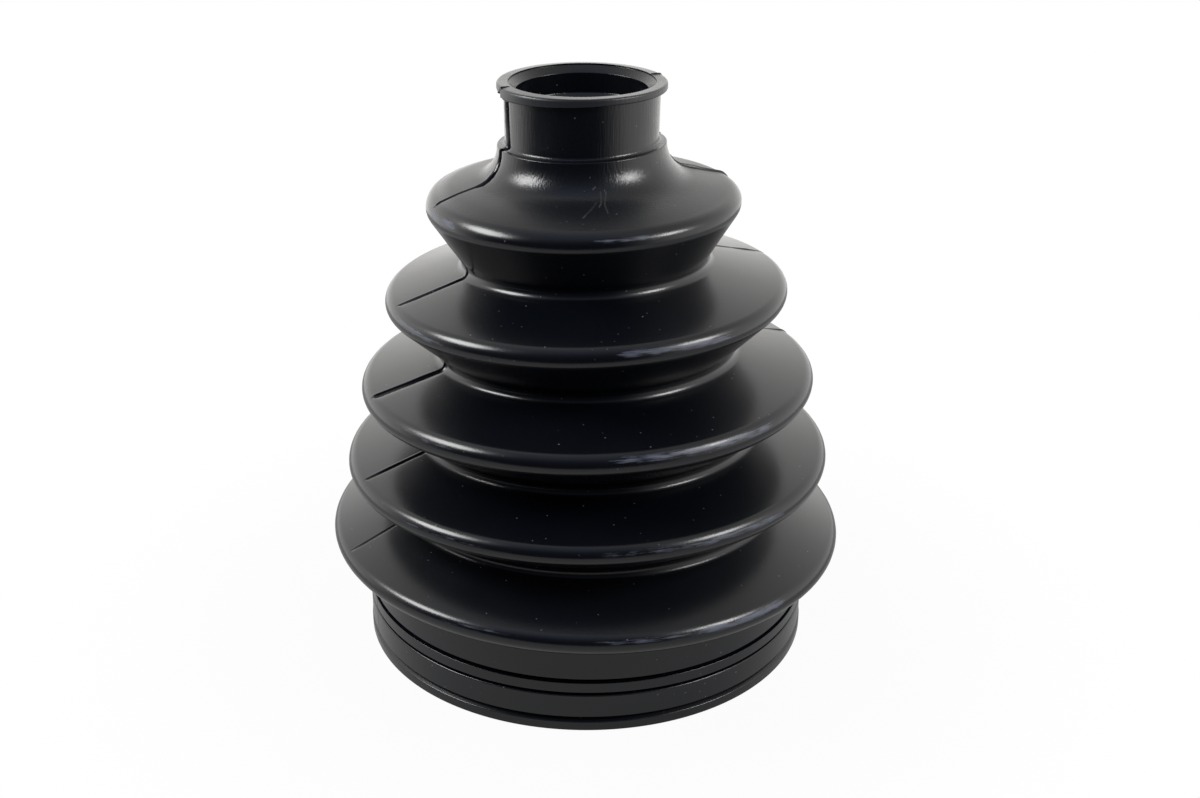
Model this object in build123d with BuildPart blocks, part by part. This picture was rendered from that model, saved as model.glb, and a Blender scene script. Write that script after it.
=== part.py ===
from build123d import *

import math
import os

# Rubber bellows boot for a constant-velocity joint: one moulded tube, hollow right through.
# It stands on its large end, which clamps on the joint housing, and its small end clamps on
# the shaft. The origin is the centre of the large end's face, with +Z along the axis.
# Sizes are in millimetres.

# Bellows, from the large end up. The wall is even: a crest is rounded by its own thickness
# about a sharp inner corner, and a root bulges inwards round its outer fillet.
wall = 2.3
crest_diameters = (106.8, 99.6, 92.4, 80.6, 62.0)
crest_rises = (5.6, 16.3, 16.5, 18.4, 18.4)  # the first above the collar, then crest to crest
root_diameters = (81.0, 69.9, 60.6, 49.4)
root_rises = (8.6, 6.7, 7.1, 7.2)  # each above the crest below it
root_radius = 1.6

# Large collar, from its bore outwards
collar_bore = 85.0
collar_wall = 3.75
collar_height = 17.3
collar_fillet = 1.2  # under the largest convolution
bore_length = 15.0  # parallel bore, before it opens into the bellows
mouth_chamfer = 0.8
band_proud = 0.3  # seat of the large clamp, proud of the collar
band_height = 5.8
rim_proud = 0.15  # proud of the band
rim_height = 2.5
rim_vee = 0.5  # fine vee between the rim and the band
rib_height = 1.55  # between the two moulded grooves above the band
groove_width = 0.65
groove_depth = 1.0

# Neck, from its bore outwards
neck_bore = 25.5
neck_wall = 2.35
seat_length = 10.4  # seat of the small clamp, between the shoulder and the lip
neck_fillet = 0.5  # at the foot of the seat
lip_proud = 1.3
lip_thickness = 1.4
lip_chamfer = 0.3
shoulder_proud = 1.35
shoulder_rise = 11.7  # above the last crest
shoulder_fillet = 0.2
sweep_radius = 7.3  # hollow curve under the shoulder
mouth_step = 0.35  # short upright edge of the lead-in at the small end
funnel_width = 1.45
funnel_depth = 1.2
bead_height = 0.75  # sealing bead inside the neck, with sides at 45 degrees
bead_land = 2.0
bead_depth = 5.15  # from the small end's face down to the bead

os.makedirs("parts", exist_ok=True)

# Radii and heights that follow
collar_radius = collar_bore / 2 + collar_wall
band_radius = collar_radius + band_proud
rim_radius = band_radius + rim_proud
neck_radius = neck_bore / 2 + neck_wall
shoulder_reach = neck_radius + shoulder_proud
lower_groove = rim_height + band_height
upper_groove = lower_groove + groove_width + rib_height
crest_heights = [collar_height + sum(crest_rises[: n + 1]) for n in range(len(crest_rises))]
root_heights = [height + rise for height, rise in zip(crest_heights, root_rises)]
shoulder_height = crest_heights[-1] + shoulder_rise
lip_foot = shoulder_height + seat_length
total_height = lip_foot + lip_thickness
bead_top = total_height - bead_depth
bead_foot = bead_top - 2 * bead_height - bead_land


def bellows_rounds():
    """Centre and radius of every round, from the collar up. Roots and crests alternate."""
    rounds = [(collar_radius + collar_fillet, collar_height, collar_fillet)]
    for n, diameter in enumerate(crest_diameters):
        rounds.append((diameter / 2 - wall, crest_heights[n], wall))
        if n < len(root_diameters):
            rounds.append((root_diameters[n] / 2 + root_radius, root_heights[n], root_radius))
    rounds.append((shoulder_reach + sweep_radius, shoulder_height, sweep_radius))
    return rounds


def flank_direction(lower, upper, side):
    """Angle of the straight flank that crosses over from one round to the next."""
    across = upper[0] - lower[0]
    along = upper[1] - lower[1]
    lean = math.asin((lower[2] + upper[2]) / math.hypot(across, along))
    return math.atan2(along, across) - side * lean


def bellows_line(depth):
    """Draws the rounds and flanks at a depth below the outer surface, and returns both ends."""
    rounds = bellows_rounds()
    upright = math.pi / 2
    arrival = upright
    spots = []
    for n, (centre_x, centre_z, radius) in enumerate(rounds):
        side = 1 if n % 2 == 0 else -1  # a root's centre is outside the rubber, a crest's inside
        last = n == len(rounds) - 1
        departure = upright if last else flank_direction(rounds[n], rounds[n + 1], side)
        reach = radius + side * depth
        bearings = [way + side * upright for way in (arrival, (arrival + departure) / 2, departure)]
        arc = [(centre_x + reach * math.cos(b), centre_z + reach * math.sin(b)) for b in bearings]
        if spots:
            Line(spots[-1], arc[0])
        if reach > 0:
            ThreePointArc(*arc)
        spots += arc
        arrival = departure
    return spots[0], spots[-1]


with BuildPart() as boot:
    # Profile of the wall, turned round the axis
    with BuildSketch(Plane.XZ):
        with BuildLine():
            outer_foot, outer_head = bellows_line(0)
            inner_foot, inner_head = bellows_line(wall)
            Polyline(  # large collar, from the underside of the bellows round to the inside
                outer_foot,
                (collar_radius, upper_groove),
                (band_radius, upper_groove),
                (band_radius, rim_height + rim_vee),
                (band_radius - rim_vee, rim_height),
                (rim_radius, rim_height - rim_vee),
                (rim_radius, 0),
                (collar_bore / 2 + mouth_chamfer, 0),
                (collar_bore / 2, mouth_chamfer),
                (collar_bore / 2, bore_length),
                inner_foot,
            )
            Polyline(  # shoulder, neck and lip, then down the inside of the small end
                outer_head,
                (neck_radius, shoulder_height),
                (neck_radius, lip_foot),
                (neck_radius + lip_proud, lip_foot),
                (neck_radius + lip_proud, total_height),
                (neck_bore / 2 + funnel_width, total_height),
                (neck_bore / 2 + funnel_width, total_height - mouth_step),
                (neck_bore / 2, total_height - mouth_step - funnel_depth),
                (neck_bore / 2, bead_top),
                (neck_bore / 2 - bead_height, bead_top - bead_height),
                (neck_bore / 2 - bead_height, bead_foot + bead_height),
                (neck_bore / 2, bead_foot),
                (neck_bore / 2, inner_head[1] + inner_head[0] - neck_bore / 2),
                inner_head,
            )
        make_face()
    revolve(axis=Axis.Z)

    # Two moulded grooves round the collar
    with BuildSketch(Plane.XZ):
        for groove in (lower_groove, upper_groove):
            with Locations((band_radius, groove)):
                Rectangle(2 * groove_depth, groove_width, align=(Align.CENTER, Align.MIN))
    revolve(axis=Axis.Z, mode=Mode.SUBTRACT)

    # Softened edges of the lip and the shoulder, and the fillet between shoulder and neck
    end_rings = boot.edges().filter_by(GeomType.CIRCLE).group_by(Axis.Z)[-1]
    chamfer(end_rings.sort_by(SortBy.RADIUS)[-1], lip_chamfer)
    lowest = shoulder_height - shoulder_fillet
    highest = shoulder_height + shoulder_fillet
    rings = boot.edges().filter_by(GeomType.CIRCLE).filter_by_position(Axis.Z, lowest, highest)
    neck_ring, shoulder_ring = rings.sort_by(SortBy.RADIUS)[-2:]
    fillet(shoulder_ring, shoulder_fillet)
    fillet(neck_ring, neck_fillet)

boot.part.label = "boot"
export_step(boot.part, "parts/boot.step")
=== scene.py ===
"""Looks of the rubber bellows boot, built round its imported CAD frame.

One piece replaces the solid. It is the same turned wall, but it stands a little crooked, as the
soft boot in the photograph does, and has the mould's parting line, rubbed crests, a scratch and
dust. Sizes of the boot are in millimetres. Those of the floor, the lamps and the camera are in
metres.
"""

import math

import bpy
import numpy as np
from mathutils import Matrix, Vector


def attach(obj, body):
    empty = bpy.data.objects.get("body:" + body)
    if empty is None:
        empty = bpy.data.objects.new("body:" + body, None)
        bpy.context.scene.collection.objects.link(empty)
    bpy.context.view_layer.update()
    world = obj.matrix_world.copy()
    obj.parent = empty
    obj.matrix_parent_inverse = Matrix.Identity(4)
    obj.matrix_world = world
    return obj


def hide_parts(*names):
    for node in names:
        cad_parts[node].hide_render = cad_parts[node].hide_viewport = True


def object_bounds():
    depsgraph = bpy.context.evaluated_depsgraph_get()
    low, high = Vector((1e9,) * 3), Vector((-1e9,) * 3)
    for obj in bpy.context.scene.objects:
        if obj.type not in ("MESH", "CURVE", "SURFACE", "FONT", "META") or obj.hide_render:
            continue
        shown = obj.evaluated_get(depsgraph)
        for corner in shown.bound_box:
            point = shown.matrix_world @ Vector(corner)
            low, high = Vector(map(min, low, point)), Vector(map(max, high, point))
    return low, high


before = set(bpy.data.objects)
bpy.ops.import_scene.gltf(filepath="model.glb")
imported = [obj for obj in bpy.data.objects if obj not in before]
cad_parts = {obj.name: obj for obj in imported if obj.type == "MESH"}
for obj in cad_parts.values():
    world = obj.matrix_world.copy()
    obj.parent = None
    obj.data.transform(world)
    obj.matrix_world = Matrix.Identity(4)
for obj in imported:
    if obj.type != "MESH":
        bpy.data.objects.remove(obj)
cad_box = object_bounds()

millimetre = 0.001

# ---------------------------------------------------------------- sizes
# They are the solid's, apart from the crests' rounds, the neck's fillet and taper, the lip's
# rounds, the vee at the rim and the upper groove, which is as deep here as the lower one.
# The bellows, from the large end up
wall = 2.3
crest_diameters = (106.8, 99.6, 92.4, 80.6, 62.0)
crest_rises = (5.6, 16.3, 16.5, 18.4, 18.4)  # the first above the collar, then crest to crest
crest_radii = (2.3, 2.3, 2.5, 2.4, 2.8)
root_diameters = (81.0, 69.9, 60.6, 49.4)
root_rises = (8.6, 6.7, 7.1, 7.2)  # each above the crest below it
root_radius = 1.6

# The large collar. A bore, here and in the neck, is given by its radius
collar_bore = 42.5
collar_radius = 46.25
collar_height = 17.3
collar_fillet = 1.2  # under the largest convolution
bore_length = 15.0  # parallel bore, before it opens into the bellows
mouth_chamfer = 0.8
band_radius = 46.55  # seat of the large clamp
rim_radius = 46.7
rim_height = 2.5  # up to the middle of the vee between the rim and the band
rim_vee = 0.6  # half the vee's width
rim_cut = 0.95  # the vee's depth
lower_groove = 7.95  # height of its lower edge, as for the upper groove
upper_groove = 10.75
groove_width = 0.65
groove_depth = 1.0

# The neck
neck_bore = 12.75
neck_radius = 15.1  # seat of the small clamp, under the lip
neck_taper = 0.16  # how much less its radius is at the shoulder
neck_fillet = 0.7  # at the foot of the seat
lip_radius = 16.4
lip_thickness = 1.4
shoulder_reach = 16.45  # the shoulder's radius
shoulder_rise = 11.7  # above the last crest
shoulder_fillet = 0.2
sweep_radius = 7.3  # hollow curve under the shoulder
mouth_radius = 14.2
mouth_step = 0.35  # short upright edge of the lead-in
funnel_depth = 1.2
funnel_knee_radius = 13.5  # the funnel is a touch steeper from here down
funnel_knee_share = 0.48  # of its depth, down to the knee
bead_radius = 12.0
bead_height = 0.75  # sealing bead inside the neck, with sides at 45 degrees
bead_land = 2.0
bead_depth = 5.15  # from the small end's face down to the bead
total_height = (cad_box[1][2] - cad_box[0][2]) / millimetre

crest_heights = [collar_height + sum(crest_rises[: n + 1]) for n in range(len(crest_rises))]
root_heights = [height + rise for height, rise in zip(crest_heights, root_rises)]
shoulder_height = crest_heights[-1] + shoulder_rise
lip_foot = total_height - lip_thickness
bead_top = total_height - bead_depth
step_foot = total_height - mouth_step
funnel_foot = step_foot - funnel_depth

# Radii of the small rounds on edges and in corners
lip_root_round = 0.2
lip_lower_round = 0.3
lip_upper_round = 0.4
mouth_round = 0.08
bead_round = 0.3
inner_round = 0.5
chamfer_rounds = (0.2, 0.15)
rim_rounds = (0.2, 0.25)
vee_rounds = (0.05, 0.1)
groove_foot_round = 0.1
groove_edge_round = 0.12
worn_edge_round = 0.3

# How finely the profile is divided: steps a radian on the bellows' rounds, but no fewer than the
# least, steps on the flanks, and steps on small rounds
outer_arc_steps = 5.0
outer_flank_steps = 4
inner_arc_steps = 1.6
inner_flank_steps = 2
least_arc_steps = 3
corner_steps = 3
# A round of the bellows that comes out smaller than this inside is a plain corner
least_inner_radius = 0.5
# Points that the outline has besides: heights up the neck and radii across the lip's top, where
# the sag bends them, and how far below the funnel's foot one keeps that edge crisp
neck_rows = (106.0, 107.5, 109.0, 110.5, 111.5, 112.3, 113.0, 113.6)
lip_rows = (15.6, 15.2, 14.8, 14.5)
crisp_edge = 0.1

# The mould's parting plane stands this far round from the X axis
parting_angle = math.radians(21.0)


# ---------------------------------------------------------------- profile of the wall
def arc(centre, radius, start, end, steps):
    """Points of an arc from one bearing to another."""
    turns = np.linspace(start, end, steps + 1)
    x, z = centre
    return [(x + radius * math.cos(turn), z + radius * math.sin(turn)) for turn in turns]


def run(start, end, steps):
    """Points of a straight run, without its two ends."""
    start, end = np.array(start), np.array(end)
    return [tuple(start + (end - start) * share) for share in np.linspace(0, 1, steps + 1)[1:-1]]


def rounded(corners):
    """An outline whose corners (x, z, radius) are rounded."""
    points = []
    for n, (x, z, radius) in enumerate(corners):
        here = np.array((x, z))
        if radius == 0 or n in (0, len(corners) - 1):
            points.append((x, z))
            continue
        before = np.array(corners[n - 1][:2]) - here
        after = np.array(corners[n + 1][:2]) - here
        before = before / np.linalg.norm(before)
        after = after / np.linalg.norm(after)
        half = math.acos(np.clip(before @ after, -1, 1)) / 2
        reach = radius / math.tan(half)
        middle = (before + after) / np.linalg.norm(before + after)
        centre = here + middle * radius / math.sin(half)
        first = here + before * reach - centre
        last = here + after * reach - centre
        start = math.atan2(first[1], first[0])
        swing = (math.atan2(last[1], last[0]) - start + math.pi) % (2 * math.pi) - math.pi
        points += arc(centre, radius, start, start + swing, corner_steps)
    return points


def bellows_rounds():
    """Centre and radius of every round, from the collar up. Roots and crests alternate."""
    rounds = [(collar_radius + collar_fillet, collar_height, collar_fillet)]
    for n, diameter in enumerate(crest_diameters):
        rounds.append((diameter / 2 - crest_radii[n], crest_heights[n], crest_radii[n]))
        if n < len(root_diameters):
            rounds.append((root_diameters[n] / 2 + root_radius, root_heights[n], root_radius))
    rounds.append((shoulder_reach + sweep_radius, shoulder_height, sweep_radius))
    return rounds


def bellows_points(depth, arc_steps, flank_steps):
    """Outline of the bellows at a depth below its outer surface, from the collar up. Each flank
    runs straight on from the rounds at its two ends."""
    rounds = bellows_rounds()
    upright = math.pi / 2
    arrival = upright
    points = []
    for n, (x, z, radius) in enumerate(rounds):
        side = 1 if n % 2 == 0 else -1  # a root's centre is outside the rubber, a crest's inside
        departure = upright
        if n + 1 < len(rounds):
            across = rounds[n + 1][0] - x
            along = rounds[n + 1][1] - z
            lean = math.asin((radius + rounds[n + 1][2]) / math.hypot(across, along))
            departure = math.atan2(along, across) - side * lean
        reach = radius + side * depth
        if reach > least_inner_radius:
            ends = (arrival + side * upright, departure + side * upright)
            steps = max(least_arc_steps, round(arc_steps * abs(departure - arrival)))
            bend = arc((x, z), reach, *ends, steps)
        else:
            bend = [(x, z)]
        if points:
            points += run(points[-1], bend[0], flank_steps)
        points += bend
        arrival = departure
    return points


def neck_outside(start):
    """The outside of the neck, its lip and the funnel in its mouth, from the sweep's end."""
    def radius_at(height):
        return neck_radius - neck_taper * (lip_foot - height) / (lip_foot - shoulder_height)

    return rounded([
        (*start, 0),
        (shoulder_reach, shoulder_height, shoulder_fillet),
        (neck_radius - neck_taper, shoulder_height, neck_fillet),
        *((radius_at(height), height, 0) for height in neck_rows),
        (neck_radius, lip_foot, lip_root_round),
        (lip_radius, lip_foot, lip_lower_round),
        (lip_radius, total_height, lip_upper_round),
        *((radius, total_height, 0) for radius in lip_rows),
        (mouth_radius, total_height, mouth_round),
        (mouth_radius, step_foot, mouth_round),
        (funnel_knee_radius, step_foot - funnel_depth * funnel_knee_share, 0),
        (neck_bore, funnel_foot, 0)])[1:]


def neck_inside(end):
    """The bore of the neck with its sealing bead, from the funnel down to the bellows."""
    bead_foot = bead_top - bead_height - bead_land
    return rounded([
        (neck_bore, funnel_foot, 0),
        (neck_bore, funnel_foot - crisp_edge, 0),
        (neck_bore, bead_top, bead_round),
        (bead_radius, bead_top - bead_height, bead_round),
        (bead_radius, bead_foot, bead_round),
        (neck_bore, bead_foot - bead_height, bead_round),
        (neck_bore, end[1] + end[0] - neck_bore, inner_round),
        (*end, 0)])[1:-1]


def collar_outline(start, end):
    """The large collar, from the inside of the bellows down its bore and up its outside."""
    groove_floor = band_radius - groove_depth
    upper_floor = collar_radius - groove_depth
    return rounded([
        (*start, 0),
        (collar_bore, bore_length, inner_round),
        (collar_bore, mouth_chamfer, chamfer_rounds[0]),
        (collar_bore + mouth_chamfer, 0, chamfer_rounds[1]),
        (rim_radius, 0, rim_rounds[0]),
        (rim_radius, rim_height - rim_vee, rim_rounds[1]),
        (band_radius - rim_cut, rim_height, vee_rounds[0]),
        (band_radius, rim_height + rim_vee, vee_rounds[1]),
        (band_radius, lower_groove, worn_edge_round),
        (groove_floor, lower_groove, groove_foot_round),
        (groove_floor, lower_groove + groove_width, groove_foot_round),
        (band_radius, lower_groove + groove_width, groove_edge_round),
        (band_radius, upper_groove, groove_edge_round),
        (upper_floor, upper_groove, groove_foot_round),
        (upper_floor, upper_groove + groove_width, groove_foot_round),
        (collar_radius, upper_groove + groove_width, groove_edge_round),
        (*end, 0)])[1:-1]


def wall_profile():
    """The closed outline of the wall: up the outside, down the inside and round the collar. Also
    how many of its points lie on the outside, from the collar to the foot of the funnel."""
    outside = bellows_points(0, outer_arc_steps, outer_flank_steps)[:-1]
    outside += neck_outside(outside[-1])
    inner_bellows = bellows_points(wall, inner_arc_steps, inner_flank_steps)
    inside = neck_inside(inner_bellows[-1]) + inner_bellows[::-1]
    collar = collar_outline(inner_bellows[0], outside[0])
    return np.array(outside + inside + collar), len(outside)


profile, outside_count = wall_profile()

# ---------------------------------------------------------------- how the soft boot stands
# Each ring of the bellows hangs a little out of level, and the neck stands to the left. By
# height: tilt in radians, with the right side up, and shift to the right.
level_heights = (0.0, 22.6, 39.4, 56.3, 74.7, 92.8, 96.5, 104.0, 116.0)
level_tilts = (0.0, -0.018, 0.0137, 0.0254, 0.0341, 0.0261, 0.009, 0.0265, 0.0053)
level_shifts = (0.0, -0.04, 0.15, 0.08, -0.25, -0.79, -0.95, -1.18, -1.16)
# The front of most rings stands a little higher, and of one a little lower: height, lift
lifts = (
    (0.0, 0.0), (17.3, 0.0), (22.9, 0.30), (31.5, 0.0), (39.2, 0.45), (45.9, 0.40),
    (55.7, 0.48), (62.8, 0.50), (74.1, 0.25), (81.3, 0.58), (92.5, 0.10), (94.6, -0.15),
    (96.2, 0.30), (98.0, 0.0), (116.0, 0.0),
)
lift_heights, front_lifts = zip(*lifts)
lift_bearing = math.radians(256)

# The lip sags in front, on the near side of the parting line, and is a little high at the back.
# The sag starts at this height, and fades out by this bearing. Less of it reaches the lip's top.
sag_foot = 111.5
sag_depth = 1.05
sag_end = math.radians(290.0)
sag_span = math.radians(90.0)
sag_power = 1.1
top_sag = 0.3
outer_rise = 0.25
inner_rise = 0.42


def eased(heights, knots, values):
    """Values eased smoothly from knot to knot."""
    place = np.clip(np.searchsorted(knots, heights, side="right") - 1, 0, len(knots) - 2)
    low = np.array(knots)[place]
    share = np.clip((heights - low) / (np.array(knots)[place + 1] - low), 0, 1)
    share = share * share * (3 - 2 * share)
    first = np.array(values)[place]
    return first + (np.array(values)[place + 1] - first) * share


def sag_lip(radii, heights, bearings, front):
    """Lowers the front of the lip and raises its back."""
    top = np.clip((heights - sag_foot) / (lip_foot - sag_foot), 0, 1)
    outward = np.clip((radii - mouth_radius) / (lip_radius - mouth_radius), 0, 1)
    turn = bearings % (2 * math.pi)
    fall = np.clip((sag_end - turn) / sag_span, 0, 1) ** sag_power
    fall = np.where((front > 0) & (turn > math.pi), fall, 0)
    fall = fall * (1 - (1 - top_sag) * np.clip((heights - lip_foot) / lip_thickness, 0, 1))
    rise = (outer_rise * outward + inner_rise * (1 - outward)) * np.clip(np.sin(bearings), 0, 1)
    return heights + top * (rise - sag_depth * fall * outward)


def settle(x, y, z):
    """Moves points from the true turned form to the way the soft boot stands."""
    forward = np.clip(np.cos(np.arctan2(y, x) - lift_bearing), 0, 1) ** 2
    return (x + eased(z, level_heights, level_shifts), y,
            z + eased(z, level_heights, level_tilts) * x
            + eased(z, lift_heights, front_lifts) * forward)


# ---------------------------------------------------------------- parting line
# What the mould left along the parting plane, by height: how far a ridge stands proud, depth of
# the cut beside it, how far the front half stands back from the rear half, how many times wider
# than usual the ridge and the cut are, and the radius past which there is none of it
no_end = 99  # past every radius
left_marks = (
    # low, high, ridge, cut, step, width, end
    (-1.0, 17.3, 0.04, 0.0, 0.03, 1.0, no_end),
    (17.3, 22.9, 0.05, 0.0, 0.03, 1.0, 50),
    (22.9, 31.5, 0.06, 0.22, 0.06, 1.4, 51.5),
    (31.5, 39.2, 0.06, 0.0, 0.03, 1.0, 47),
    (39.2, 45.9, 0.08, 0.32, 0.10, 1.8, 48.4),
    (45.9, 55.7, 0.06, 0.0, 0.03, 1.0, 44),
    (55.7, 62.8, 0.08, 0.50, 0.35, 2.8, 45.2),
    (62.8, 74.1, 0.08, 0.0, 0.03, 1.0, 38),
    (74.1, 81.3, 0.07, 0.36, 0.08, 1.9, 38.8),
    (81.3, 92.5, 0.16, 0.0, 0.03, 1.0, 30),
    (92.5, 97.6, 0.06, 0.24, 0.10, 1.3, 30.2),
    (97.6, 104.3, 0.22, 0.85, 0.25, 2.4, no_end),
    (104.3, 114.8, 0.30, 0.85, 0.20, 3.8, no_end),
    (114.8, 115.9, 0.10, 0.0, 0.0, 1.0, no_end),
)
right_marks = (
    (-1.0, 17.3, 0.05, 0.0, 0.03, 1.0, no_end),
    (17.3, 55.7, 0.12, 0.0, 0.05, 1.0, no_end),
    (55.7, 92.5, 0.24, 0.0, 0.08, 1.0, no_end),
    (92.5, 104.3, 0.6, 0.0, 0.10, 1.2, no_end),
    (104.3, 116.5, 0.30, 0.0, 0.05, 1.2, no_end),
)
# Degrees by which the line runs off the plane on the two lowest convolutions
twist_heights = (17.3, 22.9, 31.5, 39.2, 45.9, 55.7)
twists = (0.0, 4.5, 4.5, 5.2, 1.6, 0.0)
# How far in front of the plane the left line runs, by height: on the top convolution and the neck
# it strays to the rear half
wander_heights = (0.0, 92.5, 96.0, 104.2, 114.6)
wander = (0.0, 0.0, -0.45, -0.85, -1.15)
# Across the line: widths of the ridge and the cut, how far in front of it the cut lies, how far
# forward the step fades, and how far from it anything is marked
ridge_width = 0.15
cut_width = 0.17
cut_place = 0.24
step_reach = 1.1
mark_reach = 6.0
# How gently all of it fades before its last radius
mark_fade = 0.7
# The ridge and the cut are uneven along the line, and the ridge is broken as well
uneven_seed = 5
uneven_pitch = 0.7
uneven_least = 0.6
uneven_span = 0.55
broken_seed = 9
broken_pitch = 2.3
broken_gain = 2.2
broken_loss = 0.4


def jagged(lengths, seed, pitch):
    """Uneven values between 0 and 1 along the parting line, by length in millimetres."""
    draw = np.random.default_rng(seed)
    knots = np.arange(0, lengths.max() + pitch, pitch)
    return np.interp(lengths, knots, draw.random(len(knots)))


def parting_marks(profile_radii, heights, lengths, front, left):
    """How far the outer surface stands out along its normal near the parting plane."""
    front = front - np.interp(heights, wander_heights, wander)[:, None] * left
    uneven = uneven_least + uneven_span * jagged(lengths, uneven_seed, uneven_pitch)[:, None]
    broken = broken_gain * jagged(lengths, broken_seed, broken_pitch)[:, None] - broken_loss
    broken = np.clip(broken, 0, 1)
    proud = np.zeros(front.shape)
    for marks, there in ((left_marks, left), (right_marks, ~left)):
        for low, high, ridge, cut, step, width, end in marks:
            inside = there & ((heights > low) & (heights <= high))[:, None]
            shape = ridge * uneven * broken * np.exp(-(front / ridge_width / width) ** 2)
            shape = shape - cut * uneven * np.exp(-((front / width - cut_place) / cut_width) ** 2)
            shape = shape - step * np.exp(-np.clip(front, 0, None) / step_reach) * (front > 0)
            shape = shape * np.clip((end - profile_radii) / mark_fade, 0, 1)[:, None]
            proud = np.where(inside & (abs(front) < mark_reach), shape, proud)
    return proud


# ---------------------------------------------------------------- scuffs and the scratch
# Where the crests are rubbed: crest from the lowest up, bearings from and to, upward tilt of the
# surface at both ends, half width in degrees of tilt, strength
scuffs = (
    (4, 193, 222, 30, 14, 12, 0.6),
    (4, 273, 301, 28, 20, 6, 0.7),
    (3, 203, 231, 28, 6, 11, 0.6),
    (3, 276, 315, 33, 9, 12, 0.72),
    (2, 274, 322, 34, 24, 12, 0.72),
    (2, 215, 240, 30, 22, 7, 0.4),
    (1, 271, 295, 28, 20, 10, 0.42),
    (1, 290, 322, 22, 14, 12, 0.65),
    (1, 222, 250, 24, 20, 7, 0.35),
    (0, 271, 295, 25, 27, 11, 0.42),
    (0, 292, 318, 27, 26, 14, 0.8),
    (0, 238, 259, 20, 33, 9, 0.33),
)
# Degrees in which a scuff fades at its ends, and how far from a crest's edge it can reach
scuff_fade = 5.0
scuff_reach = 4.0

# One scratch on the front of the top convolution, as strokes seen from above: start, end,
# half width, strength
scratch_strokes = (
    ((1.6, -17.6), (1.1, -17.9), 0.14, 0.45),
    ((3.2, -17.7), (3.5, -18.0), 0.14, 0.4),
    ((2.5, -18.1), (2.7, -19.9), 0.20, 0.2),
    ((2.7, -19.9), (2.3, -21.3), 0.22, 0.3),
    ((3.5, -18.0), (3.3, -20.3), 0.20, 0.22),
    ((3.3, -20.3), (3.9, -23.4), 0.24, 0.2),
    ((1.7, -20.2), (0.9, -22.2), 0.24, 0.16),
    ((0.9, -22.2), (-0.5, -25.0), 0.24, 0.2),
    ((-0.2, -24.5), (-0.6, -25.2), 0.15, 0.6),
)
# Share of a stroke's half width that is as strong as its middle
scratch_core = 0.3


def scuff_share(radii, heights, bearings, tilts):
    """How far each point is rubbed, from 0 to 1."""
    turn = np.degrees(bearings) % 360
    share = np.zeros(heights.shape)
    for crest, start, end, start_tilt, end_tilt, width, strength in scuffs:
        near = abs(heights - crest_heights[crest]) < scuff_reach
        near &= radii > crest_diameters[crest] / 2 - scuff_reach
        ends = np.clip(np.minimum(turn - start, end - turn) / scuff_fade, 0, 1)
        middle = start_tilt + (end_tilt - start_tilt) * (turn - start) / (end - start)
        there = strength * ends * np.exp(-((tilts - middle) / width) ** 2)
        share = np.maximum(share, np.where(near, there, 0))
    return share


# ---------------------------------------------------------------- mesh
# Columns of points: how far the close ones stand from the parting plane, on either side of it,
# and how many more there are on each half
seam_columns = (0.05, 0.15, 0.25, 0.36, 0.48, 0.62, 0.9, 1.35)
plain_columns = 132
# Besides the outside, what lies further out than this carries the parting marks, as the collar
# does
marked_radius = collar_bore + 2.0
# The lip's outer face is matt and carries a painted reflection, lighter than the rest, from this
# far above its foot to this far below its top, and this far in
matt_foot = 0.05
matt_head = 0.1
matt_depth = 0.3


def azimuths(radius):
    """Bearings of the columns of one row: close together at the parting plane's two edges."""
    close = np.arcsin(np.array(seam_columns) / radius)
    close = np.concatenate((-close[::-1], close))
    rest = np.linspace(close[-1], math.pi + close[0], plain_columns + 2)[1:-1]
    half = np.concatenate((close, rest))
    return np.concatenate((half, half + math.pi)) + parting_angle


def outward_normals(points):
    """Normals across the profile's line, away from the rubber on its outside."""
    along = np.roll(points, -1, 0) - np.roll(points, 1, 0)
    along /= np.linalg.norm(along, axis=1)[:, None]
    return along[:, 1], -along[:, 0]


def area_normals(points):
    """Normals of a grid closed both ways, weighted by area, so that flats stay flat."""
    def shifted(rows, columns):
        return np.roll(np.roll(points, -rows, 0), -columns, 1)

    faces = np.cross(shifted(0, 1) - shifted(1, 0), shifted(1, 1) - points)
    total = faces + np.roll(faces, 1, 0)
    total = total + np.roll(total, 1, 1)
    return total / np.linalg.norm(total, axis=2)[:, :, None]


def closed_faces(rows, columns):
    """Quads of a grid of points that is closed both ways."""
    row = np.arange(rows)[:, None]
    column = np.arange(columns)[None, :]
    here, above = row * columns, (row + 1) % rows * columns
    beside = (column + 1) % columns
    return np.stack([(here + column).ravel(), (here + beside).ravel(),
                     (above + beside).ravel(), (above + column).ravel()], 1)


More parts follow.
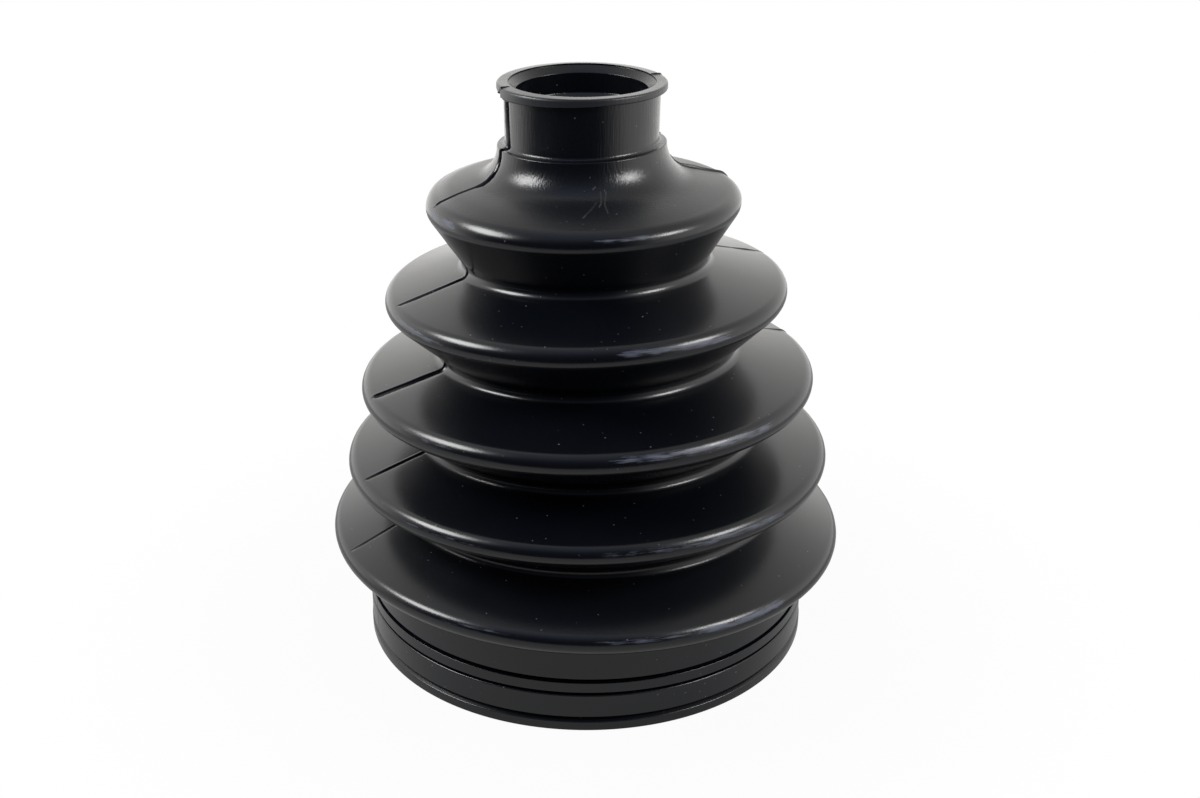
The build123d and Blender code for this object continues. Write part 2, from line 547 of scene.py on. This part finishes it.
def boot_grid():
    """The boot as rows of points in metres, one row for each point of the profile, how far each
    point is rubbed, and where the lip is matt with a painted reflection."""
    lengths = np.cumsum(np.hypot(*np.diff(profile, axis=0, prepend=profile[:1]).T))
    twist = np.radians(np.interp(profile[:, 1], twist_heights, twists))[:, None]
    bearings = np.array([azimuths(radius) for radius in profile[:, 0]]) + twist
    radii = np.broadcast_to(profile[:, :1], bearings.shape)
    heights = np.broadcast_to(profile[:, 1:], bearings.shape)
    front = -radii * np.sin(bearings - twist - parting_angle)
    left = np.cos(bearings - twist - parting_angle) < 0
    proud = parting_marks(profile[:, 0], profile[:, 1], lengths, front, left)
    outer = (np.arange(len(profile)) < outside_count) | (profile[:, 0] > marked_radius)
    outer &= profile[:, 0] > mouth_radius
    proud = np.where(outer[:, None], proud, 0)
    across, upward = outward_normals(profile)
    tilts = np.degrees(np.arctan2(upward, across))[:, None]
    rubbed = scuff_share(radii, heights, bearings, tilts)
    # The lip's face, which is matt and gets a painted reflection in its colour
    matt_and_painted_reflection = (heights > lip_foot + matt_foot) & (heights < total_height - matt_head)
    matt_and_painted_reflection &= radii > lip_radius - matt_depth
    heights = sag_lip(radii, heights, bearings, front)
    radii = radii + proud * across[:, None]
    heights = heights + proud * upward[:, None]
    settled = settle(radii * np.cos(bearings), radii * np.sin(bearings), heights)
    return np.stack(settled, 2) * millimetre, rubbed, matt_and_painted_reflection


def boot_mesh():
    """The boot as rings of points, closed round the axis and round the profile."""
    grid, rubbed, matt_and_painted_reflection = boot_grid()
    faces = closed_faces(*grid.shape[:2])
    mesh = bpy.data.meshes.new("boot_rubber")
    mesh.from_pydata(grid.reshape(-1, 3).tolist(), [], faces.tolist())
    mesh.polygons.foreach_set("use_smooth", np.ones(len(mesh.polygons), bool))
    mesh.update()
    mesh.normals_split_custom_set_from_vertices(area_normals(grid).reshape(-1, 3).tolist())
    for name, share in (("rubbed", rubbed), ("matt_and_painted_reflection", matt_and_painted_reflection)):
        layer = mesh.attributes.new(name, "FLOAT", "POINT")
        layer.data.foreach_set("value", share.ravel().astype(np.float32))
    piece = bpy.data.objects.new("boot_rubber", mesh)
    bpy.context.scene.collection.objects.link(piece)
    return piece


# ---------------------------------------------------------------- nodes
class Nodes:
    """Adds nodes to the tree of a material, the world or a lamp."""

    def __init__(self, owner):
        owner.use_nodes = True
        self.tree = owner.node_tree

    def feed(self, socket, value):
        """Gives a socket a value, or links another node's output to it."""
        if isinstance(value, bpy.types.NodeSocket):
            self.tree.links.new(value, socket)
        else:
            socket.default_value = value

    def fill(self, name, inputs):
        """Feeds the inputs of a node that the tree has from the start."""
        node = self.tree.nodes[name]
        for socket, value in inputs.items():
            self.feed(node.inputs[socket], value)
        return node

    def add(self, kind, inputs=None, **settings):
        """A new node with its settings and inputs."""
        node = self.tree.nodes.new(kind)
        for name, value in settings.items():
            setattr(node, name, value)
        for socket, value in (inputs or {}).items():
            self.feed(node.inputs[socket], value)
        return node

    def number(self, operation, *numbers):
        """A number that comes of others."""
        return self.add("ShaderNodeMath", dict(enumerate(numbers)),
                        operation=operation).outputs["Value"]

    def vector(self, operation, *vectors):
        """A vector that comes of others."""
        return self.add("ShaderNodeVectorMath", dict(enumerate(vectors)),
                        operation=operation).outputs["Vector"]

    def measure(self, operation, *vectors):
        """A number that comes of vectors."""
        return self.add("ShaderNodeVectorMath", dict(enumerate(vectors)),
                        operation=operation).outputs["Value"]

    def ranged(self, value, low, high, to_low=0.0, to_high=1.0, **settings):
        """A value moved from one range to another, and kept inside it."""
        return self.add("ShaderNodeMapRange", {
            "Value": value, "From Min": low, "From Max": high,
            "To Min": to_low, "To Max": to_high}, **settings).outputs["Result"]

    def blend(self, share, first, second):
        """A colour between two others."""
        return self.add("ShaderNodeMix", {"Factor": share, 6: first, 7: second},
                        data_type="RGBA").outputs[2]

    def noise(self, place, scale, closer, detail):
        """Noise by its cycles to the metre, how many times closer they lie along each axis, and
        its detail."""
        return self.add("ShaderNodeTexNoise", {
            "Vector": self.vector("MULTIPLY", place, closer), "Scale": scale,
            "Detail": detail}).outputs[0]


# ---------------------------------------------------------------- rubber
rubber_ior = 1.5
black_colours = ((0.0013, 0.0020, 0.0037, 1), (0.0022, 0.0030, 0.0049, 1))
# The lip's face: lighter, partly for its matt finish and partly as a painted reflection
matt_and_painted_reflection_colour = (0.0135, 0.0145, 0.0175, 1)
rubbed_colour = (0.085, 0.095, 0.130, 1)
dust_colour = (0.12, 0.12, 0.125, 1)

satin_roughness = (0.215, 0.265)
rubbed_roughness = 0.25
matt_roughness = 0.15
flank_roughness = 0.14
# Heights between which the top convolution's flank turns dull, and satin again
flank_foot = (95.0, 95.8)
flank_head = (97.4, 98.6)

# Noises: cycles to the metre, how many times closer they lie along X, Y and Z, detail
black_noise = (35.0, (1, 1, 1), 3.0)
satin_noise = (55.0, (1, 1, 1), 5.0)
streak_noise = (260.0, (1, 1, 16), 4.0)
torn_noise = (420.0, (1, 1, 3), 3.0)
patch_noise = (2600.0, (1, 1, 1), 3.0)
fine_noise = (2600.0, (1, 1, 1), 2.0)
coarse_noise = (420.0, (1, 1, 1), 2.0)
drawn_noise = (3000.0, (1, 1, 0.06), 2.0)
# Most of a noise lies between these
noise_range = (0.3, 0.7)

# Rubbed crests: how much the rubbing, the streaks and the torn edges count, the sum that is all
# pale, and how little rubbing shows at all
rubbing_gain = 1.5
streak_span = (-0.75, 0.25)
torn_span = (-0.3, 0.2)
rubbed_full = 0.9
rubbing_shown = (0.03, 0.25)

# Dust: cells to the metre, radii between which a speck fades, in cells, share of cells without
dust_cells = 480.0
dust_radii = (0.05, 0.09)
dustless_share = 0.25

# The scratch: heights between which it fades in, and how patchy it is
scratch_foot = (92.0, 94.0)
patch_range = (0.35, 0.6)
patch_shares = (0.3, 1.0)

# Bumps: how much the drawn streaks and the coarse grain count, and heights between which the
# drawn streaks fade in
drawn_gain = 5.0
coarse_gain = 0.8
drawn_foot = (92.0, 97.0)
bump_strength = 0.22
bump_depth = 0.04


def by_height(nodes, height, low, high, to_low=0.0, to_high=1.0):
    """A share that changes between two heights in millimetres."""
    return nodes.ranged(height, low * millimetre, high * millimetre, to_low, to_high)


def rubbed_share(nodes, place):
    """Rubbed crests: pale streaks that run round the boot, denser where it is more rubbed."""
    rubbing = nodes.add("ShaderNodeAttribute", attribute_name="rubbed").outputs["Fac"]
    streaks = nodes.ranged(nodes.noise(place, *streak_noise), *noise_range, *streak_span)
    torn = nodes.ranged(nodes.noise(place, *torn_noise), *noise_range, *torn_span)
    pale = nodes.number("ADD", nodes.number("MULTIPLY", rubbing, rubbing_gain), streaks)
    pale = nodes.ranged(nodes.number("ADD", pale, torn), 0.0, rubbed_full)
    return nodes.number("MULTIPLY", pale, nodes.ranged(rubbing, *rubbing_shown))


def dust_share(nodes, place):
    """Small pale specks, a few to the square centimetre."""
    cells = nodes.add("ShaderNodeTexVoronoi", {"Vector": place, "Scale": dust_cells}).outputs
    near = nodes.ranged(cells["Distance"], *dust_radii, 1.0, 0.0)
    draws = nodes.add("ShaderNodeSeparateColor", {0: cells["Color"]}).outputs
    chosen = nodes.number("GREATER_THAN", draws[0], dustless_share)
    return nodes.number("MULTIPLY", nodes.number("MULTIPLY", near, chosen), draws[1])


def with_scratch(nodes, place, height, share):
    """What is pale already, and the strokes of the scratch."""
    above = nodes.vector("MULTIPLY", place, (1, 1, 0))
    patchy = nodes.ranged(nodes.noise(place, *patch_noise), *patch_range, *patch_shares)
    patchy = nodes.number("MULTIPLY", patchy, by_height(nodes, height, *scratch_foot))
    for start, end, width, strength in scratch_strokes:
        start, end = Vector((*start, 0)) * millimetre, Vector((*end, 0)) * millimetre
        way = end - start
        offset = nodes.vector("SUBTRACT", above, start)
        along = nodes.measure("DOT_PRODUCT", offset, way / way.length_squared)
        foot = nodes.add("ShaderNodeVectorMath", {
            0: way, "Scale": nodes.ranged(along, 0.0, 1.0)}, operation="SCALE").outputs["Vector"]
        gap = nodes.measure("DISTANCE", offset, foot)
        edge = width * millimetre
        stroke = nodes.ranged(gap, scratch_core * edge, edge, strength, 0.0)
        share = nodes.number("MAXIMUM", share, nodes.number("MULTIPLY", stroke, patchy))
    return share


def rubber_colour(nodes, place, height, rubbed, matt_and_painted_reflection):
    """Black, with the matt lip and its painted reflection, the rubbed crests, the dust and the
    scratch over it.
    """
    colour = nodes.blend(nodes.noise(place, *black_noise), *black_colours)
    # Painted reflection: the lip's matt face is coloured lighter
    colour = nodes.blend(matt_and_painted_reflection, colour, matt_and_painted_reflection_colour)
    colour = nodes.blend(rubbed, colour, rubbed_colour)
    pale = with_scratch(nodes, place, height, dust_share(nodes, place))
    return nodes.blend(pale, colour, dust_colour)


def rubber_roughness(nodes, place, height, rubbed, matt_and_painted_reflection):
    """Satin, duller on rubbed crests, on the lip's face and on the top convolution's flank."""
    roughness = nodes.ranged(nodes.noise(place, *satin_noise), *noise_range, *satin_roughness)
    above_foot = by_height(nodes, height, *flank_foot)
    below_head = by_height(nodes, height, *flank_head, 1.0, 0.0)
    flank = nodes.number("MULTIPLY", above_foot, below_head)
    dull_places = ((rubbed, rubbed_roughness), (matt_and_painted_reflection, matt_roughness), (flank, flank_roughness))
    for share, more in dull_places:
        roughness = nodes.number("ADD", roughness, nodes.number("MULTIPLY", share, more))
    return roughness


def rubber_grain(nodes, place, height):
    """Grain all over, and fine streaks drawn upwards on the shoulder and neck."""
    drawn = nodes.noise(place, *drawn_noise)
    drawn = nodes.number("MULTIPLY", drawn, by_height(nodes, height, *drawn_foot))
    grain = nodes.noise(place, *fine_noise)
    for part, gain in ((drawn, drawn_gain), (nodes.noise(place, *coarse_noise), coarse_gain)):
        grain = nodes.number("ADD", grain, nodes.number("MULTIPLY", part, gain))
    return grain


def rubber_material():
    """Black satin rubber, with what rubbed it, scratched it and settled on it."""
    material = bpy.data.materials.new("rubber")
    nodes = Nodes(material)
    place = nodes.add("ShaderNodeTexCoord").outputs["Object"]
    height = nodes.add("ShaderNodeSeparateXYZ", {0: place}).outputs["Z"]
    matt_and_painted_reflection = nodes.add("ShaderNodeAttribute", attribute_name="matt_and_painted_reflection").outputs["Fac"]
    rubbed = rubbed_share(nodes, place)
    bump = nodes.add("ShaderNodeBump", {
        "Strength": bump_strength, "Distance": bump_depth * millimetre,
        "Height": rubber_grain(nodes, place, height)}).outputs["Normal"]
    nodes.fill("Principled BSDF", {
        "Base Color": rubber_colour(nodes, place, height, rubbed, matt_and_painted_reflection),
        "Roughness": rubber_roughness(nodes, place, height, rubbed, matt_and_painted_reflection),
        "IOR": rubber_ior, "Normal": bump})
    return material


boot = boot_mesh()
boot.data.materials.append(rubber_material())
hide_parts("boot")
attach(boot, "root")

# ---------------------------------------------------------------- floor
floor_sides = (-0.26, 0.26)
floor_front = -0.18
floor_back = 0.30
floor_level = -0.0002
floor_colour = (0.36, 0.36, 0.36, 1)
floor_roughness = 0.9
floor_specular = 0.2
# Share of plain white in what the camera sees of the floor, and in what the rubber mirrors of it:
# distances from the middle of the boot, and shares there
seen_distances = (0.05, 0.13)
seen_shares = (0.96, 1.0)
mirrored_distances = (0.05, 0.16)
mirrored_shares = (0.36, 0.14)


def floor_material():
    """Grey, which the camera sees mostly as white, and as all white away from the boot, so that
    only the boot's shadow shows."""
    material = bpy.data.materials.new("floor")
    nodes = Nodes(material)
    grey = nodes.fill("Principled BSDF", {
        "Base Color": floor_colour, "Roughness": floor_roughness,
        "Specular IOR Level": floor_specular}).outputs["BSDF"]
    white = nodes.add("ShaderNodeEmission").outputs["Emission"]
    path = nodes.add("ShaderNodeLightPath").outputs
    far = nodes.measure("LENGTH", nodes.add("ShaderNodeTexCoord").outputs["Object"])
    fade = nodes.ranged(far, *seen_distances, *seen_shares, interpolation_type="SMOOTHSTEP")
    gleam = nodes.ranged(far, *mirrored_distances, *mirrored_shares)
    seen = nodes.number("MULTIPLY", path["Is Camera Ray"], fade)
    mirrored = nodes.number("MULTIPLY", path["Is Glossy Ray"], gleam)
    share = nodes.number("ADD", seen, mirrored)
    mix = nodes.add("ShaderNodeMixShader", {0: share, 1: grey, 2: white}).outputs["Shader"]
    nodes.fill("Material Output", {"Surface": mix})
    return material


def studio_floor():
    """A plain floor, just below the boot."""
    left, right = floor_sides
    corners = [(left, floor_front), (right, floor_front), (right, floor_back), (left, floor_back)]
    mesh = bpy.data.meshes.new("floor")
    mesh.from_pydata([(x, y, floor_level) for x, y in corners], [], [(0, 1, 2, 3)])
    mesh.materials.append(floor_material())
    plane = bpy.data.objects.new("floor", mesh)
    bpy.context.scene.collection.objects.link(plane)


studio_floor()

# ---------------------------------------------------------------- world
# The studio is white all round behind the boot, dimmer overhead, and dark behind the camera. The
# bearing of the dark side's middle, how far round from it is all dark, and where the dark ends:
dark_bearing = math.radians(250)
dark_core = math.radians(44)
dark_end = math.radians(96)
# Sine of the height above the horizon and brightness there, and tint
bright_stops = ((0.0, 0.86), (0.2, 0.83), (0.5, 0.68), (0.707, 0.5), (0.866, 0.36), (0.97, 0.33))
bright_tint = (1.01, 1.0, 0.98)
dim_stops = ((0.0, 0.02), (0.34, 0.03), (0.64, 0.06), (0.8, 0.13), (0.94, 0.21), (0.98, 0.25))
dim_tint = (0.86, 0.97, 1.30)
# How strong the studio is on the left and on the right
side_strengths = (1.95, 1.65)


def height_ramp(nodes, height, stops, tint):
    """A tinted colour by height."""
    node = nodes.add("ShaderNodeValToRGB", {0: height})
    elements = node.color_ramp.elements
    while len(elements) < len(stops):
        elements.new(0.5)
    for element, (place, value) in zip(elements, stops):
        element.position = place
        element.color = (*(value * part for part in tint), 1)
    return node.outputs["Color"]


def studio_world():
    """The studio as the rubber mirrors it. The camera sees plain white instead."""
    world = bpy.data.worlds.new("studio")
    bpy.context.scene.world = world
    nodes = Nodes(world)
    way = nodes.add("ShaderNodeTexCoord").outputs["Generated"]
    parts = nodes.add("ShaderNodeSeparateXYZ", {0: way}).outputs
    bright = height_ramp(nodes, parts["Z"], bright_stops, bright_tint)
    dim = height_ramp(nodes, parts["Z"], dim_stops, dim_tint)
    level = nodes.add("ShaderNodeCombineXYZ", {0: parts["X"], 1: parts["Y"]}).outputs["Vector"]
    level = nodes.vector("NORMALIZE", level)
    rightward = nodes.add("ShaderNodeSeparateXYZ", {0: level}).outputs["X"]
    dark_way = (math.cos(dark_bearing), math.sin(dark_bearing), 0)
    dark = nodes.ranged(nodes.measure("DOT_PRODUCT", level, dark_way), math.cos(dark_end),
                        math.cos(dark_core), interpolation_type="SMOOTHSTEP")
    studio = nodes.fill("Background", {
        "Color": nodes.blend(dark, bright, dim),
        "Strength": nodes.ranged(rightward, -1, 1, *side_strengths)}).outputs["Background"]
    plain = nodes.add("ShaderNodeBackground", {"Color": (1, 1, 1, 1)}).outputs["Background"]
    from_camera = nodes.add("ShaderNodeLightPath").outputs["Is Camera Ray"]
    choose = nodes.add("ShaderNodeMixShader", {0: from_camera, 1: studio, 2: plain})
    nodes.fill("World Output", {"Surface": choose.outputs["Shader"]})


studio_world()

# ---------------------------------------------------------------- lamps
# Name, bearing and rise in degrees from the point that it lights, that point, size, watts
softboxes = (
    ("left_softbox", 189, 31.5, (-0.012, -0.014, 0.103), (0.23, 0.16), 1.45),
    ("right_softbox", 337, 29.5, (0.012, -0.014, 0.103), (0.16, 0.125), 0.85),
)
softbox_distance = 0.38
# Past this ray depth a softbox gives no light, so that it hardly shows again in what another
# convolution mirrors
last_ray_depth = 2.5


def softbox(name, bearing, rise, aim, size, power):
    """An oval softbox, turned to the point that it lights."""
    light = bpy.data.lights.new(name, "AREA")
    light.shape = "ELLIPSE"
    light.size, light.size_y = size
    light.energy = power
    nodes = Nodes(light)
    depth = nodes.add("ShaderNodeLightPath").outputs["Ray Depth"]
    nodes.fill("Emission", {"Strength": nodes.number("LESS_THAN", depth, last_ray_depth)})
    bearing, rise = math.radians(bearing), math.radians(rise)
    level = math.cos(rise)
    way = Vector((level * math.cos(bearing), level * math.sin(bearing), math.sin(rise)))
    lamp = bpy.data.objects.new(name, light)
    lamp.location = Vector(aim) + way * softbox_distance
    lamp.rotation_euler = way.to_track_quat("Z", "Y").to_euler()
    lamp.visible_camera = False
    bpy.context.scene.collection.objects.link(lamp)


for row in softboxes:
    softbox(*row)

# ---------------------------------------------------------------- camera
# It looks down by this pitch, turned by this roll, both in radians, from this far off the point
# that it looks at
camera_pitch = 0.4176
camera_roll = 0.0079
camera_reach = 0.31667
look_at = Vector((0.002719, 0, 0.049537))
# Focal length in pixels, of a photograph this many pixels wide
focal_pixels = 1519.1
photo_width = 1200
# The sensor's width in millimetres, and the nearest that the camera sees
sensor_width = 36.0
clip_start = 0.01


def studio_camera():
    """The camera, with the photograph's view of the boot."""
    lens = bpy.data.cameras.new("camera")
    lens.sensor_width = sensor_width
    lens.lens = sensor_width * focal_pixels / photo_width
    lens.clip_start = clip_start
    camera = bpy.data.objects.new("camera", lens)
    back = Vector((0, -math.cos(camera_pitch), math.sin(camera_pitch)))
    turn = back.to_track_quat("Z", "Y").to_matrix() @ Matrix.Rotation(camera_roll, 3, "Z")
    camera.location = look_at + back * camera_reach
    camera.rotation_euler = turn.to_euler()
    bpy.context.scene.collection.objects.link(camera)
    bpy.context.scene.camera = camera


studio_camera()
bpy.context.scene.view_settings.view_transform = "Standard"
